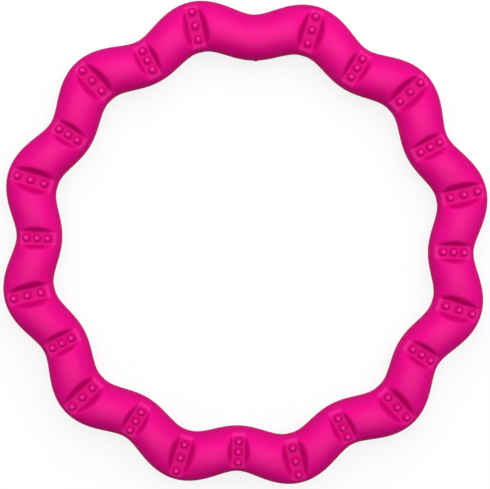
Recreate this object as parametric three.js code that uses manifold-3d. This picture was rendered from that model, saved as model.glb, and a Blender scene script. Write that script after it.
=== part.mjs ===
// Dog ring toy: a wavy, hollow rubber ring, moulded as two half shells and bonded along a stepped seam.
// Millimetres, +Z up. The ring lies flat on z = 0 around the Z axis, and its one plain wave faces +Y.
import * as THREE from "three";
import { mergeVertices } from "three/addons/utils/BufferGeometryUtils.js";
import Module from "manifold-3d";

// Ring outline
const RING_RADIUS = 108; // mean radius of the tube's centreline
const WAVE_COUNT = 12;
const WAVE_SWING = 3.95; // how far the centreline swings to each side of the mean radius
const PLAIN_WAVE_ANGLE = Math.PI / 2; // the inward bend that has no pad

// Tube
const TUBE_HEIGHT = 24;
const CREST_WIDTH = 26; // across the tube where the ring bulges out
const TROUGH_WIDTH = 23.2; // across the tube where the ring bends in
const SLOPE_WIDTH = 23.7; // across the tube half way between the two
const LAND_WIDTH = 3; // flat strip along each crown, on which the ring lies

// Walls and seam
const SIDE_WALL = 6; // from the tube's side to the hollow, at the seam
const PAD_WEB = 2.5; // left between the deepest pad and the hollow
const LIP_HEIGHT = 1.2; // the lower shell's lip, standing inside the upper shell's skirt
const LIP_SETBACK = 3.2; // from the tube's side to the lip
const SEAM_CLEARANCE = 0.3; // room for the bond between the shells

// Dotted pads, notched across the crown at each bend
const CREST_PAD_DEPTH = 4.7;
const TROUGH_PAD_DEPTH = 3.9;
const PAD_FLOOR_WIDTH = 6.8; // along the tube
const PAD_WALL_ANGLE = THREE.MathUtils.degToRad(52); // from the floor
const CROWN_FALL = 0.8; // how far the crown slopes down to the edge of a pad
const CROWN_SLOPE_ANGLE = THREE.MathUtils.degToRad(9);
const CUT_MARGIN = 2; // how far a notch's cutter reaches past the tube

// Nubs, three in a row across each pad
const NUBS_PER_PAD = 3;
const CREST_NUB_SPACING = 7;
const TROUGH_NUB_SPACING = 5.3;
const NUB_ROW_SHIFT = 0.4; // the row sits a little outside the centreline
const NUB_DIAMETER = 4.4;
const NUB_HEIGHT = 1;
const NUB_SHOULDER_DIAMETER = 2.8;
const NUB_SHOULDER_HEIGHT = 0.7;
const NUB_ROOT = 0.4; // sunk into the pad's floor
const NUB_LEAN = 0.5; // how far a nub's top stands outside its foot

// Facets
const STEPS_PER_WAVE = 12;
const CROWN_STEPS = 4; // from the rim to the crown
const HOLLOW_STEPS = 2; // from the seam to the middle of the hollow
const NUB_SIDES = 8;

const RUBBER = { color: 0xf0208f, roughness: 0.5, metalness: 0 };

const MID_HEIGHT = TUBE_HEIGHT / 2;
const HOLLOW_CEILING = MID_HEIGHT - Math.max(CREST_PAD_DEPTH, TROUGH_PAD_DEPTH) - PAD_WEB;
const WAVE_ANGLE = (2 * Math.PI) / WAVE_COUNT;

const wasm = await Module();
wasm.setup();

function toSolid(geometry) {
  geometry.deleteAttribute("normal");
  geometry.deleteAttribute("uv");
  const merged = mergeVertices(geometry);
  const mesh = new wasm.Mesh({
    numProp: 3,
    vertProperties: new Float32Array(merged.attributes.position.array),
    triVerts: new Uint32Array(merged.index.array),
  });
  return new wasm.Manifold(mesh);
}

function toGeometry(solid) {
  const { vertProperties, triVerts } = solid.getMesh();
  const geometry = new THREE.BufferGeometry();
  geometry.setAttribute("position", new THREE.BufferAttribute(vertProperties, 3));
  geometry.setIndex(new THREE.BufferAttribute(triVerts, 1));
  geometry.computeVertexNormals();
  return geometry;
}

// 1 at the crests, where the ring bulges out, and -1 at the troughs.
function wave(angle) {
  return -Math.cos(WAVE_COUNT * (angle - PLAIN_WAVE_ANGLE));
}

function centreRadius(angle) {
  return RING_RADIUS + WAVE_SWING * wave(angle);
}

// A smooth curve through the tube's widths at crest, slope and trough.
function tubeWidth(angle) {
  const bends = (CREST_WIDTH + TROUGH_WIDTH) / 2;
  const mean = (bends + SLOPE_WIDTH) / 2;
  const swing = (CREST_WIDTH - TROUGH_WIDTH) / 2;
  const bulge = (bends - SLOPE_WIDTH) / 2;
  const height = wave(angle);
  return mean + swing * height + bulge * (2 * height * height - 1);
}

function centrePoint(angle) {
  return new THREE.Vector2(Math.cos(angle), Math.sin(angle)).multiplyScalar(centreRadius(angle));
}

// Unit vector out of the ring, square to the centreline.
function outwardNormal(angle) {
  const slope = WAVE_SWING * WAVE_COUNT * Math.sin(WAVE_COUNT * (angle - PLAIN_WAVE_ANGLE));
  const radial = new THREE.Vector2(Math.cos(angle), Math.sin(angle));
  const tangent = new THREE.Vector2(-radial.y, radial.x);
  return radial.multiplyScalar(centreRadius(angle)).addScaledVector(tangent, -slope).normalize();
}

// Section of a half shell: x out of the ring, y away from the mid plane, with the crown on top.
// The seam is stepped at stepX from the centreline, between the rim and stepY.
function shellSection(halfWidth, stepX, stepY) {
  const rim = SEAM_CLEARANCE / 2;
  const land = LAND_WIDTH / 2;
  const hollow = halfWidth - SIDE_WALL;
  const side = [];
  for (let step = 0; step <= CROWN_STEPS; step++) {
    const turn = (Math.PI / 2) * (step / CROWN_STEPS);
    const x = land + (halfWidth - land) * Math.cos(turn);
    side.push(new THREE.Vector2(x, rim + (MID_HEIGHT - rim) * Math.sin(turn)));
  }
  const points = [...side];
  for (const point of side.reverse()) points.push(new THREE.Vector2(-point.x, point.y));
  points.push(new THREE.Vector2(-stepX, rim), new THREE.Vector2(-stepX, stepY));
  for (let step = 0; step <= 2 * HOLLOW_STEPS; step++) {
    const turn = (Math.PI / 2) * (step / HOLLOW_STEPS);
    const rise = (HOLLOW_CEILING - stepY) * Math.sin(turn);
    points.push(new THREE.Vector2(-hollow * Math.cos(turn), stepY + rise));
  }
  points.push(new THREE.Vector2(stepX, stepY), new THREE.Vector2(stepX, rim));
  return points;
}

function upperSection(angle) {
  const halfWidth = tubeWidth(angle) / 2;
  const skirt = halfWidth - LIP_SETBACK + SEAM_CLEARANCE;
  return shellSection(halfWidth, skirt, LIP_HEIGHT + SEAM_CLEARANCE);
}

function lowerSection(angle) {
  const halfWidth = tubeWidth(angle) / 2;
  const points = shellSection(halfWidth, halfWidth - LIP_SETBACK, -LIP_HEIGHT);
  return points.map((point) => new THREE.Vector2(point.x, -point.y)).reverse();
}

// Sweeps a section round the ring, square to the wavy centreline.
function sweepRing(sectionAt) {
  const stations = WAVE_COUNT * STEPS_PER_WAVE;
  const positions = [];
  const indices = [];
  for (let station = 0; station < stations; station++) {
    const angle = PLAIN_WAVE_ANGLE + (2 * Math.PI * station) / stations;
    const centre = centrePoint(angle);
    const normal = outwardNormal(angle);
    const section = sectionAt(angle);
    const count = section.length;
    const next = ((station + 1) % stations) * count;
    section.forEach((point, index) => {
      const spot = centre.clone().addScaledVector(normal, point.x);
      positions.push(spot.x, spot.y, MID_HEIGHT + point.y);
      const here = station * count + index;
      const beside = station * count + ((index + 1) % count);
      const ahead = next + index;
      const across = next + ((index + 1) % count);
      indices.push(here, ahead, beside, beside, ahead, across);
    });
  }
  const geometry = new THREE.BufferGeometry();
  geometry.setAttribute("position", new THREE.Float32BufferAttribute(positions, 3));
  geometry.setIndex(indices);
  return geometry;
}

// Every bend has a pad but the plain one.
function padPlaces() {
  const places = [];
  for (let index = 0; index < WAVE_COUNT; index++) {
    const trough = PLAIN_WAVE_ANGLE + index * WAVE_ANGLE;
    places.push({ angle: trough + WAVE_ANGLE / 2, depth: CREST_PAD_DEPTH, spacing: CREST_NUB_SPACING });
    if (index > 0) places.push({ angle: trough, depth: TROUGH_PAD_DEPTH, spacing: TROUGH_NUB_SPACING });
  }
  return places;
}

// Frame in the middle of a pad's floor: x along the tube, y out of the floor, z out of the ring.
function padFrame({ angle, depth }, side) {
  const radial = new THREE.Vector3(Math.cos(angle), Math.sin(angle), 0);
  const up = new THREE.Vector3(0, 0, side);
  const along = new THREE.Vector3().crossVectors(up, radial);
  const spot = radial.clone().multiplyScalar(centreRadius(angle));
  spot.z = MID_HEIGHT + side * (MID_HEIGHT - depth);
  return new THREE.Matrix4().makeBasis(along, up, radial).setPosition(spot);
}

// Notch with a flat floor, leaning walls and the slope of the crown beside them, right across the tube.
function notchGeometry({ angle, depth }) {
  const height = depth + CUT_MARGIN;
  const rise = depth - CROWN_FALL;
  const floor = PAD_FLOOR_WIDTH / 2;
  const edge = floor + rise / Math.tan(PAD_WALL_ANGLE);
  const top = edge + (height - rise) / Math.tan(CROWN_SLOPE_ANGLE);
  const length = tubeWidth(angle) + 2 * CUT_MARGIN;
  const outline = new THREE.Shape([
    new THREE.Vector2(-floor, 0),
    new THREE.Vector2(floor, 0),
    new THREE.Vector2(edge, rise),
    new THREE.Vector2(top, height),
    new THREE.Vector2(-top, height),
    new THREE.Vector2(-edge, rise),
  ]);
  const notch = new THREE.ExtrudeGeometry(outline, { depth: length, bevelEnabled: false });
  return notch.translate(0, 0, -length / 2);
}

function nubGeometry(offset) {
  const profile = [
    new THREE.Vector2(0, -NUB_ROOT),
    new THREE.Vector2(NUB_DIAMETER / 2, -NUB_ROOT),
    new THREE.Vector2(NUB_SHOULDER_DIAMETER / 2, NUB_SHOULDER_HEIGHT),
    new THREE.Vector2(0, NUB_HEIGHT),
  ];
  const lean = new THREE.Matrix4().makeShear(0, 0, 0, NUB_LEAN / NUB_HEIGHT, 0, 0);
  return new THREE.LatheGeometry(profile, NUB_SIDES).applyMatrix4(lean).translate(0, 0, offset);
}

// A half shell with its notched pads and their nubs; side is 1 for the upper shell and -1 for the lower.
function halfShell(name, sectionAt, side) {
  let solid = toSolid(sweepRing(sectionAt));
  for (const pad of padPlaces()) {
    const frame = padFrame(pad, side);
    solid = solid.subtract(toSolid(notchGeometry(pad).applyMatrix4(frame)));
    for (let index = 0; index < NUBS_PER_PAD; index++) {
      const offset = NUB_ROW_SHIFT + (index - (NUBS_PER_PAD - 1) / 2) * pad.spacing;
      solid = solid.add(toSolid(nubGeometry(offset).applyMatrix4(frame)));
    }
  }
  const shell = new THREE.Mesh(toGeometry(solid), new THREE.MeshStandardMaterial(RUBBER));
  shell.name = name;
  return shell;
}

const ring = new THREE.Group();
ring.add(halfShell("lower_half_shell", lowerSection, -1));
ring.add(halfShell("upper_half_shell", upperSection, 1));

export default ring;
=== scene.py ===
# Looks of a dog ring toy: a wavy ring of pink rubber with dotted pads notched across its bends.
# Metres, in the part's own frame: the ring lies on z = 0 around the Z axis, and its plain bend faces +Y.
import math

import bpy
import numpy as np
from mathutils import Matrix, Vector


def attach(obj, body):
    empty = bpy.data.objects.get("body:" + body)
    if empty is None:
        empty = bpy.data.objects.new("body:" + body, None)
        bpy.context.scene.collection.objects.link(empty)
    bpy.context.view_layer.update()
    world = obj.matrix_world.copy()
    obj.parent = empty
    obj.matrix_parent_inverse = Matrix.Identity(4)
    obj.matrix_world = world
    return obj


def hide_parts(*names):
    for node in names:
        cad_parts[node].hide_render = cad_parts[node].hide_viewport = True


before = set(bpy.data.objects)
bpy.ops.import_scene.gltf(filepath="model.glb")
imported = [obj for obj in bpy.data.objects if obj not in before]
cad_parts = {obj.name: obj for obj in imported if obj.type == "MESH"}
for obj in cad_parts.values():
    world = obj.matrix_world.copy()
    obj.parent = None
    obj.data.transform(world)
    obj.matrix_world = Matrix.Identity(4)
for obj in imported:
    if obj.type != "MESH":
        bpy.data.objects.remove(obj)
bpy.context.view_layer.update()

MM = 0.001

# Ring outline and tube, as the solids have them
RING_RADIUS = 108 * MM
WAVE_COUNT = 12
WAVE_SWING = 3.95 * MM
PLAIN_BEND_ANGLE = math.pi / 2
TUBE_HEIGHT = 24 * MM
CREST_WIDTH = 26 * MM
TROUGH_WIDTH = 23.2 * MM
SLOPE_WIDTH = 23.7 * MM
MID_HEIGHT = TUBE_HEIGHT / 2
BEND_ANGLE = math.pi / WAVE_COUNT  # from one bend to the next
SKIN_EASE = 0.05 * MM  # how far the smooth sides lie inside the solids' faceted ones

# Pads, and the slope of the crown beside them
CREST_PAD_DEPTH = 4.7 * MM
TROUGH_PAD_DEPTH = 3.9 * MM
PAD_FLOOR_WIDTH = 6.8 * MM
PAD_WALL_SLOPE = math.tan(math.radians(52))
CROWN_DIP = 1.4 * MM  # how low the crown would be in the middle of a pad if no notch were cut there
CROWN_DIP_POWER = 4  # the higher, the closer the dip keeps to the top of the tube
NOTCH_EDGE_ANGLE = BEND_ANGLE / 4  # about where a notch's upper edges lie, from the pad's middle

# Nubs
NUBS_PER_PAD = 3
CREST_NUB_SPACING = 7 * MM
TROUGH_NUB_SPACING = 5.3 * MM
NUB_ROW_SHIFT = 0.4 * MM  # the row sits a little outside the centreline
NUB_RADIUS = 2.2 * MM
NUB_HEIGHT = 1 * MM
NUB_LEAN = 0.5 * MM  # how far a nub's top stands outside its foot
NUB_TOP_POWER = 2.5  # the higher, the flatter the top
NUB_FOOT_POWER = 1.5  # the higher, the softer the foot

# Rounding of the moulded edges
EDGE_ROUNDING = 1 * MM  # between a pad's walls and the crown
END_ROUNDING = 1.6 * MM  # between a pad's floor and the tube's sides
END_DEPTH = 2.6 * MM  # depth of floor over which one rounding passes into the other
CORNER_ROUNDING = 0.9 * MM  # between a pad's floor and its walls

# Walls and seam
SIDE_WALL = 6 * MM
PAD_WEB = 2.5 * MM
LIP_HEIGHT = 1.2 * MM
LIP_SETBACK = 3.2 * MM
BOND_GAP = 0.06 * MM
SEAM_GROOVE_DEPTH = 0.25 * MM
SEAM_GROOVE_HEIGHT = 0.3 * MM

# Stub left by the mould's gate on the inner rim of the plain bend
GATE_ANGLE = math.radians(89.3)
GATE_REACH = 0.4 * MM
GATE_WIDTH = 0.7 * MM
GATE_HEIGHT = 1 * MM
GATE_BAND = 1.5 * MM  # only this far in from the rim

# Lines of the surface grid
NUB_LINES = 6
GAP_LINES = 3
FLOOR_END_LINES = 3
FLOOR_LINES = 3
WALL_LINES = 7
CROWN_LINES = 7
SIDE_LINES = 6
LINE_EASE = 1.6  # crowds the lines of the crown and the sides towards the pads
HOLLOW_LINES = 7
LEAST_WALL_RUN = 0.6 * MM  # keeps the rows of a wall apart where the notch runs out
SHARP_ANGLE = math.radians(60)  # edges that turn more, such as the seam's, are shaded as sharp
TINY = 1e-9  # stands in for a distance of nothing in a division

# Newton's method for ring angles
SOLVER_ROUNDS = 6
SOLVER_STEP = 1e-5

# Camera, from the ring's outline in the photograph
PHOTO_WIDTH = 490
SENSOR_WIDTH = 36
MM_PER_PIXEL = 0.5056  # in the mid plane, at the ring's centre
CAMERA_DISTANCE_PIXELS = 2197  # from that centre, in pixels of that size
CAMERA_TILT = math.radians(3.86)
CAMERA_LEAN = math.radians(1.15)
CAMERA_ROLL = math.radians(-2.03)
RING_SHIFT_PIXELS = (0.5, 0.4)  # from the photograph's middle to the ring's centre, right and up

# Light: a broad overhead softbox that leans to the plain bend, a low far one on each side and a faint glow
# A level is the brightness that the light gives to white that faces it
KEY_LEVEL = 0.875
KEY_DISTANCE = 1.3
KEY_SPREAD = math.radians(80)
KEY_LEAN = math.radians(22.5)
KEY_TURN = math.radians(84)
SIDE_LEVEL = 0.18
SIDE_SPREAD = math.radians(50)
SIDE_LEAN = math.radians(75)
GLOW_LEVEL = 0.01

# Floor, which is plain white away from the ring
WHITE = (1, 1, 1, 1)
FLOOR_COLOUR = (0.22, 0.22, 0.22, 1)
FLOOR_ROUGHNESS = 0.9
FLOOR_SHEEN = 0.81  # the floor's own brightness near the ring
FLOOR_FADE_START = 0.3  # from here outward that brightness grows
FLOOR_FADE_END = 1  # and here it is white
FLOOR_SIZE = 8

# Reach of the painted highlights and painted shade on the rubber
# depth below the tube over which the painted shade in a notch grows to full
SUNK_DEPTH = 1.2 * MM
# height above the floor over which the walls' painted shade sets in
WALL_RISE = 0.3 * MM
# depth below the tube over which a floor's ends take a painted highlight
END_HIGHLIGHT_REACH = 0.9 * MM
# radius and width of the painted shade ring around each nub's foot
CREASE_RADIUS = 1.8 * MM
CREASE_WIDTH = 0.55 * MM
CROWN_START = 0.85  # share of the full height at which the crown's painted highlight begins
NUB_START = 0.8  # share of a nub's height at which its painted highlight begins

# Rubber: its own two pinks, then the colours of painted highlights and painted shade
PALE_PINK = (0.88, 0.0055, 0.27, 1)
DEEP_PINK = (0.84, 0.0045, 0.255, 1)
# painted highlight along the crown: a paler pink with more green, in place of the sheen there
CROWN_HIGHLIGHT_PINK = (0.87, 0.017, 0.273, 1)
# painted shade on a pad's floor, deeper where the notch is deeper
FLOOR_SHADE_PINK = (0.735, 0.0095, 0.225, 1)
# painted shade on a notch's walls
WALL_SHADE_PINK = (0.65, 0.001, 0.178, 1)
# painted highlight where a pad's floor runs out to the tube's sides
END_HIGHLIGHT_PINK = (0.9, 0.022, 0.3, 1)
# painted shade ring around each nub's foot
CREASE_SHADE_PINK = (0.57, 0.001, 0.16, 1)
# painted highlight on the nub tops
NUB_HIGHLIGHT_PINK = (0.98, 0.042, 0.37, 1)
DRIFT_SCALE = 28
DRIFT_LOW = 0.3
DRIFT_HIGH = 0.7
SPECKLE_SCALE = 900
LEAST_ROUGHNESS = 0.42
MOST_ROUGHNESS = 0.56
GRAIN_SCALE = 2600
GRAIN_STRENGTH = 0.12
GRAIN_HEIGHT = 0.05 * MM
GLOSS = 0.01  # specular level
SATIN = 0.06  # metallic share, for a soft sheen in the rubber's own colour

# Colour sockets of a mix node
MIX_SHARE = 0
MIX_FIRST = 6
MIX_SECOND = 7
MIX_RESULT = 2


def wave(angle):
    """1 at the crests, where the ring bulges out, and -1 at the troughs."""
    return -np.cos(WAVE_COUNT * (angle - PLAIN_BEND_ANGLE))


def half_width(angle):
    """Half the tube's width: a smooth curve through its widths at crest, slope and trough."""
    bends = (CREST_WIDTH + TROUGH_WIDTH) / 2
    height = wave(angle)
    mean = (bends + SLOPE_WIDTH) / 2
    swing = (CREST_WIDTH - TROUGH_WIDTH) / 2
    bulge = (bends - SLOPE_WIDTH) / 2
    return (mean + swing * height + bulge * (2 * height**2 - 1)) / 2 - SKIN_EASE


def plan_point(angle, offset):
    """x and y of the points at an offset out of the ring from its wavy centreline."""
    radius = RING_RADIUS + WAVE_SWING * wave(angle)
    slope = WAVE_SWING * WAVE_COUNT * np.sin(WAVE_COUNT * (angle - PLAIN_BEND_ANGLE))
    length = np.hypot(radius, slope)
    outward = radius + offset * radius / length
    sideways = -offset * slope / length
    x = outward * np.cos(angle) - sideways * np.sin(angle)
    y = outward * np.sin(angle) + sideways * np.cos(angle)
    return x, y


def along_tube(pad_angle, angle, share):
    """How far along the tube from a pad's middle the points at a share of the half width lie."""
    x, y = plan_point(angle, share * half_width(angle))
    return y * math.cos(pad_angle) - x * math.sin(pad_angle)


def angle_at(pad_angle, share, along):
    """Ring angle of the points that lie that far along the tube, by Newton's method."""
    angle = pad_angle + along / RING_RADIUS
    for _ in range(SOLVER_ROUNDS):
        here = along_tube(pad_angle, angle, share)
        rate = (along_tube(pad_angle, angle + SOLVER_STEP, share) - here) / SOLVER_STEP
        angle = angle + (along - here) / rate
    return angle


def bell(distance, width):
    return np.exp(-((distance / width) ** 2))


def smooth_min(a, b, rounding):
    """The lower of two heights, with the edge between them rounded."""
    near = np.maximum(rounding - np.abs(a - b), 0) / rounding
    return np.minimum(a, b) - near**2 * rounding / 4


def eased(lines, parts):
    """The first shares of a length in so many parts, crowded towards its start."""
    return (np.arange(1, lines + 1) / parts) ** LINE_EASE


class Pad:
    """A bend of the ring with its notch, or the plain bend without one."""

    def __init__(self, index):
        crest = index % 2 == 1
        self.angle = PLAIN_BEND_ANGLE + index * BEND_ANGLE
        self.plain = index == 0
        self.floor = MID_HEIGHT - (CREST_PAD_DEPTH if crest else TROUGH_PAD_DEPTH)
        self.half_width = half_width(self.angle)
        spacing = CREST_NUB_SPACING if crest else TROUGH_NUB_SPACING
        first = NUB_ROW_SHIFT - spacing * (NUBS_PER_PAD - 1) / 2
        self.nubs = [first + spacing * nub for nub in range(NUBS_PER_PAD)]
        self.cell = min(spacing, PAD_FLOOR_WIDTH) / 2  # half the square of floor that a nub has to itself
        self.columns = self.column_places() / self.half_width

    def column_places(self):
        """Offsets of the grid's columns, from the inner rim to the outer rim."""
        floor_end = self.half_width * math.sqrt(1 - (self.floor / MID_HEIGHT) ** 2)
        rings = NUB_RADIUS * np.sin(np.linspace(-math.pi / 2, math.pi / 2, 2 * NUB_LINES + 1))
        middle = []
        for nub, place in enumerate(self.nubs):
            if nub:
                middle.extend(np.linspace(middle[-1], place + rings[0], GAP_LINES + 2)[1:-1])
            middle.extend(place + rings)
        inner = np.linspace(-floor_end, middle[0], FLOOR_END_LINES + 1)[:-1]
        outer = np.linspace(middle[-1], floor_end, FLOOR_END_LINES + 1)[1:]
        turn = math.acos(floor_end / self.half_width)
        side = self.half_width * np.cos(turn * (1 - eased(SIDE_LINES, SIDE_LINES + 1)))
        return np.concatenate([-side[::-1], inner, middle, outer, side])

    def tube(self, angle, share):
        """Height above the mid plane of the round tube, whose crown slopes down towards a pad."""
        roundness = np.sqrt(np.maximum(1 - share**2, 0))
        nearness = (1 + np.cos(2 * WAVE_COUNT * (angle - self.angle))) / 2
        dip = 0 if self.plain else CROWN_DIP * nearness
        return MID_HEIGHT * roundness - dip * roundness**CROWN_DIP_POWER

    def half_rows(self):
        """Distances of the grid's rows from the pad's middle to the notch's upper edge, for each column."""
        floor_edge = PAD_FLOOR_WIDTH / 2
        rise = self.tube(self.angle + NOTCH_EDGE_ANGLE, self.columns) - self.floor
        run = np.maximum(rise / PAD_WALL_SLOPE, LEAST_WALL_RUN)
        rings = NUB_RADIUS * np.sin(np.linspace(0, math.pi / 2, NUB_LINES + 1))
        floor_rows = np.linspace(NUB_RADIUS, floor_edge, FLOOR_LINES + 2)[1:-1]
        flat = np.concatenate([rings, floor_rows])[:, None] + 0 * run
        shares = (1 - np.cos(np.linspace(0, math.pi, WALL_LINES))) / 2
        return np.concatenate([flat, floor_edge + shares[:, None] * run])

    def round_nubs(self, across, along):
        """Bends the grid's squares around each nub into circles, and gives the nubs and the painted shade
        ring around each nub's foot.
        """
        nubs = np.zeros_like(along)
        crease = np.zeros_like(along)
        for place in self.nubs:
            aside = across - place
            square = np.maximum(np.abs(aside), np.abs(along))
            circle = np.maximum(np.hypot(aside, along), TINY)
            fade = np.clip((self.cell - square) / (self.cell - NUB_RADIUS), 0, 1)
            scale = 1 + fade * (square / circle - 1)
            nub = (1 - np.minimum(square / NUB_RADIUS, 1) ** NUB_TOP_POWER) ** NUB_FOOT_POWER
            across = place + aside * scale + NUB_LEAN * nub
            along = along * scale
            nubs += nub
            # painted shade ring around the nub's foot
            crease = np.maximum(crease, bell(square - CREASE_RADIUS, CREASE_WIDTH))
        return across, along, nubs, crease

    def notch(self, along):
        """Height of the notch's floor and walls above the mid plane."""
        wall = (np.abs(along) - PAD_FLOOR_WIDTH / 2) * PAD_WALL_SLOPE
        return self.floor - smooth_min(0 * wall, -wall, CORNER_ROUNDING)

    def band(self, angle, share, along, nubs=0, crease=0):
        """Height above the mid plane of some rows, with the marks from 0 to 1 that lay painted highlights
        and painted shade on them.
        """
        tube = self.tube(angle, share)
        notch = self.notch(along)
        inside = np.clip((tube - self.floor) / END_DEPTH, 0, 1)
        rounding = END_ROUNDING + inside * (EDGE_ROUNDING - END_ROUNDING)
        crown = tube if self.plain else smooth_min(tube, notch, rounding)
        # painted shade on the floor, deeper where the notch is deeper
        sunk = inside * np.clip((tube - crown) / SUNK_DEPTH, 0, 1)
        # the walls take a darker painted shade
        steep = np.clip((notch - self.floor) / WALL_RISE, 0, 1)
        # painted highlight where a floor runs out to the tube's sides
        end = 0 if self.plain else bell(tube - self.floor, END_HIGHLIGHT_REACH) * (1 - steep)
        blank = np.zeros_like(tube)
        return {
            "angle": angle,
            "share": share,
            "height": crown + NUB_HEIGHT * nubs,
            "crown": crown / MID_HEIGHT,
            "floor": sunk,
            "wall": sunk * steep,
            "end": blank + end,
            "crease": blank + crease,
            "nub": blank + nubs,
        }

    def surface(self):
        """The pad's rows, out to the notch's upper edges."""
        half = self.half_rows()
        along = np.concatenate([-half[:0:-1], half])
        across = self.half_width * np.broadcast_to(self.columns, along.shape)
        nubs = crease = 0
        if not self.plain:
            across, along, nubs, crease = self.round_nubs(across, along)
        share = across / self.half_width
        return self.band(angle_at(self.angle, share, along), share, along, nubs, crease)

    def crown_rows(self, side, angle, share, middle_columns):
        """Rows from a notch's upper edge to half way to the next pad, where neighbours share a row."""
        ease = eased(CROWN_LINES, CROWN_LINES)[:, None]
        angles = angle + ease * (self.angle + side * BEND_ANGLE / 2 - angle)
        shares = share + ease * (middle_columns - share)
        return self.band(angles, shares, along_tube(self.angle, angles, shares))


def outer_surface():
    """The whole crown with its marks, row by row."""
    pads = [Pad(index) for index in range(2 * WAVE_COUNT)]
    middle_columns = (pads[0].columns + pads[1].columns) / 2
    bands = []
    for pad in pads:
        notch = pad.surface()
        before = pad.crown_rows(-1, notch["angle"][0], notch["share"][0], middle_columns)
        after = pad.crown_rows(1, notch["angle"][-1], notch["share"][-1], middle_columns)
        bands.append({name: rows[-2::-1] for name, rows in before.items()})
        bands.append(notch)
        bands.append(after)
    return {name: np.concatenate([band[name] for band in bands]) for name in bands[0]}


def seam_and_hollow(inner_angle, outer_angle, step_setback, step_height):
    """Angle, offset and height of the seam's step and the hollow, from the inner rim to the outer rim."""
    ceiling = MID_HEIGHT - max(CREST_PAD_DEPTH, TROUGH_PAD_DEPTH) - PAD_WEB
    rim = BOND_GAP / 2
    step = [
        (0, SEAM_GROOVE_HEIGHT),
        (SEAM_GROOVE_DEPTH, rim),
        (step_setback, rim),
        (step_setback, step_height),
    ]
    profile = [(-1, inset, height) for inset, height in step]
    for turn in np.linspace(0, math.pi, HOLLOW_LINES):
        height = step_height + (ceiling - step_height) * math.sin(turn)
        profile.append((-math.cos(turn), SIDE_WALL, height))
    profile.extend((1, inset, height) for inset, height in reversed(step))
    columns = []
    for position, inset, height in profile:
        angle = inner_angle + (outer_angle - inner_angle) * (position + 1) / 2
        columns.append((angle, position * (half_width(angle) - inset), height + 0 * angle))
    return [np.stack(part, axis=1) for part in zip(*columns)]


def gate_stub(angle, offset, height):
    """How far the gate's stub stands out at points of the inner rim."""
    along = (angle - GATE_ANGLE) * RING_RADIUS
    swell = bell(along, GATE_WIDTH) * bell(height, GATE_HEIGHT)
    return np.where(offset < GATE_BAND - half_width(angle), GATE_REACH * swell, 0)


def grid_faces(rows, columns, side):
    """Corners of the faces of a grid that closes on itself both ways."""
    here = np.arange(rows * columns).reshape(rows, columns)
    ahead = np.roll(here, -1, axis=0)
    beside = np.roll(here, -1, axis=1)
    across = np.roll(ahead, -1, axis=1)
    corners = [here, ahead, across, beside] if side > 0 else [here, beside, across, ahead]
    return np.stack(corners, axis=-1).reshape(-1, 4)


def half_shell(name, side, step_setback, step_height):
    """One half of the hollow ring as a closed mesh; side is 1 for the upper shell and -1 for the lower."""
    marks = outer_surface()
    angle = marks.pop("angle")
    offset = marks.pop("share") * half_width(angle)
    height = marks.pop("height")
    seam = seam_and_hollow(angle[:, 0], angle[:, -1], step_setback, step_height)
    angle = np.concatenate([angle[:, ::-1], seam[0]], axis=1)
    offset = np.concatenate([offset[:, ::-1], seam[1]], axis=1)
    height = np.concatenate([height[:, ::-1], seam[2]], axis=1)
    x, y = plan_point(angle, offset - gate_stub(angle, offset, height))
    points = np.stack([x, y, MID_HEIGHT + side * height], axis=-1).reshape(-1, 3)
    mesh = bpy.data.meshes.new(name)
    mesh.from_pydata(points.tolist(), [], grid_faces(*angle.shape, side).tolist())
    mesh.shade_smooth()
    mesh.set_sharp_from_angle(angle=SHARP_ANGLE)
    for mark, value in marks.items():
        spread = np.concatenate([value[:, ::-1], 0 * seam[2]], axis=1)
        mesh.attributes.new(mark, "FLOAT", "POINT").data.foreach_set("value", spread.ravel())
    piece = bpy.data.objects.new(name, mesh)
    bpy.context.scene.collection.objects.link(piece)
    return piece


def feed(tree, node, inputs):
    """Sets a node's inputs to plain values, or links them to other nodes' outputs."""
    for name, value in inputs.items():
        if isinstance(value, bpy.types.NodeSocket):
            tree.links.new(value, node.inputs[name])
        else:
            node.inputs[name].default_value = value


def add_node(tree, kind, inputs, **settings):
    node = tree.nodes.new(kind)
    for name, value in settings.items():
        setattr(node, name, value)
    feed(tree, node, inputs)
    return node


def in_range(tree, value, limits):
    """A value carried into a range and held at its ends."""
    return add_node(tree, "ShaderNodeMapRange", {"Value": value, **limits}).outputs["Result"]


def mixed(tree, share, first, second):
    """A colour that gives way to another by a share from 0 to 1."""
    inputs = {MIX_SHARE: share, MIX_FIRST: first, MIX_SECOND: second}
    return add_node(tree, "ShaderNodeMix", inputs, data_type="RGBA").outputs[MIX_RESULT]


def noise(tree, scale):
    """Noise that stays with the object."""
    place = tree.nodes.new("ShaderNodeTexCoord").outputs["Object"]
    return add_node(tree, "ShaderNodeTexNoise", {"Vector": place, "Scale": scale}).outputs["Fac"]


def new_material(name):
    material = bpy.data.materials.new(name)
    material.use_nodes = True
    return material, material.node_tree, material.node_tree.nodes["Principled BSDF"]


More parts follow.
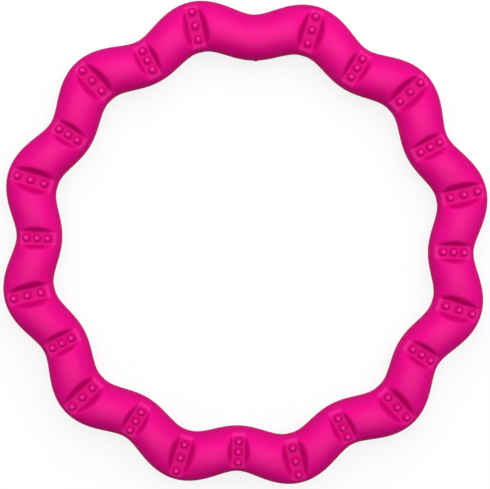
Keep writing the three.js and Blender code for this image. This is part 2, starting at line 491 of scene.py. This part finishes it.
def rubber_paint(tree):
    """Pink with faint drifts, with painted highlights and painted shade laid on by the marks on the mesh.
    """
    drift = in_range(tree, noise(tree, DRIFT_SCALE), {"From Min": DRIFT_LOW, "From Max": DRIFT_HIGH})
    paint = mixed(tree, drift, DEEP_PINK, PALE_PINK)
    # the crown, the floor's ends and the nub tops get a painted highlight; the floor, walls and nub creases
    # get painted shade
    for mark, start, shade in (
        ("crown", CROWN_START, CROWN_HIGHLIGHT_PINK),
        ("floor", 0, FLOOR_SHADE_PINK),
        ("wall", 0, WALL_SHADE_PINK),
        ("end", 0, END_HIGHLIGHT_PINK),
        ("crease", 0, CREASE_SHADE_PINK),
        ("nub", NUB_START, NUB_HIGHLIGHT_PINK),
    ):
        read = add_node(tree, "ShaderNodeAttribute", {}, attribute_name=mark).outputs["Fac"]
        paint = mixed(tree, in_range(tree, read, {"From Min": start}), paint, shade)
    return paint


def rubber_material():
    """Satin hot-pink moulded rubber with uneven gloss and a fine moulded grain."""
    material, tree, shader = new_material("pink_rubber")
    speckle = noise(tree, SPECKLE_SCALE)
    roughness = in_range(tree, speckle, {"To Min": LEAST_ROUGHNESS, "To Max": MOST_ROUGHNESS})
    grain = {"Height": noise(tree, GRAIN_SCALE), "Strength": GRAIN_STRENGTH, "Distance": GRAIN_HEIGHT}
    look = {
        "Base Color": rubber_paint(tree),
        "Specular IOR Level": GLOSS,
        "Specular Tint": PALE_PINK,
        "Metallic": SATIN,
        "Roughness": roughness,
        "Normal": add_node(tree, "ShaderNodeBump", grain).outputs["Normal"],
    }
    feed(tree, shader, look)
    return material


def seen_share(tree):
    """1 for rays that the camera, reflections and clear materials send, and 0 for the rest."""
    path = tree.nodes.new("ShaderNodeLightPath")
    seen = path.outputs["Is Camera Ray"]
    for ray in ("Is Glossy Ray", "Is Transmission Ray"):
        either = {0: seen, 1: path.outputs[ray]}
        seen = add_node(tree, "ShaderNodeMath", either, operation="MAXIMUM").outputs["Value"]
    return seen


def floor_material():
    """A pale floor that takes the ring's soft shadow, looks white and is plain white away from the ring."""
    material, tree, shader = new_material("white_floor")
    place = tree.nodes.new("ShaderNodeTexCoord").outputs["Object"]
    distance = add_node(tree, "ShaderNodeVectorMath", {0: place}, operation="LENGTH").outputs["Value"]
    fade = {"From Min": FLOOR_FADE_START, "From Max": FLOOR_FADE_END, "To Min": FLOOR_SHEEN}
    sheen = {0: in_range(tree, distance, fade), 1: seen_share(tree)}
    look = {
        "Base Color": FLOOR_COLOUR,
        "Roughness": FLOOR_ROUGHNESS,
        "Specular IOR Level": 0,
        "Emission Color": WHITE,
        "Emission Strength": add_node(tree, "ShaderNodeMath", sheen, operation="MULTIPLY").outputs["Value"],
    }
    feed(tree, shader, look)
    return material


def make_floor():
    mesh = bpy.data.meshes.new("floor")
    reach = FLOOR_SIZE / 2
    corners = [(-reach, -reach, 0), (reach, -reach, 0), (reach, reach, 0), (-reach, reach, 0)]
    mesh.from_pydata(corners, [], [(0, 1, 2, 3)])
    mesh.materials.append(floor_material())
    floor = bpy.data.objects.new("floor", mesh)
    bpy.context.scene.collection.objects.link(floor)


def make_camera():
    scale = MM_PER_PIXEL * MM
    turn = Matrix.Rotation(CAMERA_TILT, 3, "X") @ Matrix.Rotation(CAMERA_LEAN, 3, "Y")
    turn = (turn @ Matrix.Rotation(CAMERA_ROLL, 3, "Z")).transposed()
    shift_x, shift_y = RING_SHIFT_PIXELS
    place = turn @ Vector((-shift_x, -shift_y, CAMERA_DISTANCE_PIXELS)) * scale
    data = bpy.data.cameras.new("camera")
    data.sensor_width = SENSOR_WIDTH
    data.lens = SENSOR_WIDTH * CAMERA_DISTANCE_PIXELS / PHOTO_WIDTH
    camera = bpy.data.objects.new("camera", data)
    camera.matrix_world = Matrix.Translation(place + Vector((0, 0, MID_HEIGHT))) @ turn.to_4x4()
    bpy.context.scene.collection.objects.link(camera)
    bpy.context.scene.camera = camera


def add_light(data, lean, turn):
    """Puts a light up; lean is measured from straight above, and turn from the +X side."""
    light = bpy.data.objects.new(data.name, data)
    light.rotation_euler = (0, lean, turn)
    bpy.context.scene.collection.objects.link(light)
    return light


def make_key_light():
    """A round softbox, near enough for the far side of the ring to be a little darker."""
    data = bpy.data.lights.new("key_softbox", "AREA")
    data.shape = "DISK"
    data.size = 2 * KEY_DISTANCE * math.tan(KEY_SPREAD / 2)
    # The power of a disc of this size that gives its level at the ring's centre
    data.energy = KEY_LEVEL * (math.pi * KEY_DISTANCE / math.cos(KEY_SPREAD / 2)) ** 2
    light = add_light(data, KEY_LEAN, KEY_TURN)
    light.location = light.rotation_euler.to_matrix() @ Vector((0, 0, KEY_DISTANCE))


def make_side_lights():
    for name, turn in (("right_softbox", 0), ("left_softbox", math.pi)):
        data = bpy.data.lights.new(name, "SUN")
        data.energy = SIDE_LEVEL * math.pi
        data.angle = SIDE_SPREAD
        add_light(data, SIDE_LEAN, turn)


def make_world():
    """A faint even glow on the object, which the camera and reflections see as a white backdrop."""
    world = bpy.data.worlds.new("studio")
    world.use_nodes = True
    tree = world.node_tree
    glow = in_range(tree, seen_share(tree), {"To Min": GLOW_LEVEL})
    feed(tree, tree.nodes["Background"], {"Color": WHITE, "Strength": glow})
    bpy.context.scene.world = world


def make_ring():
    rubber = rubber_material()
    lower = half_shell("ring_lower_half", -1, LIP_SETBACK, -LIP_HEIGHT)
    upper = half_shell("ring_upper_half", 1, LIP_SETBACK - BOND_GAP, LIP_HEIGHT + BOND_GAP)
    for piece, node in ((lower, "lower_half_shell"), (upper, "upper_half_shell")):
        piece.data.materials.append(rubber)
        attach(piece, "root")
        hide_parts(node)


bpy.context.scene.view_settings.view_transform = "Standard"
make_camera()
make_key_light()
make_side_lights()
make_world()
make_floor()
make_ring()
bpy.context.view_layer.update()
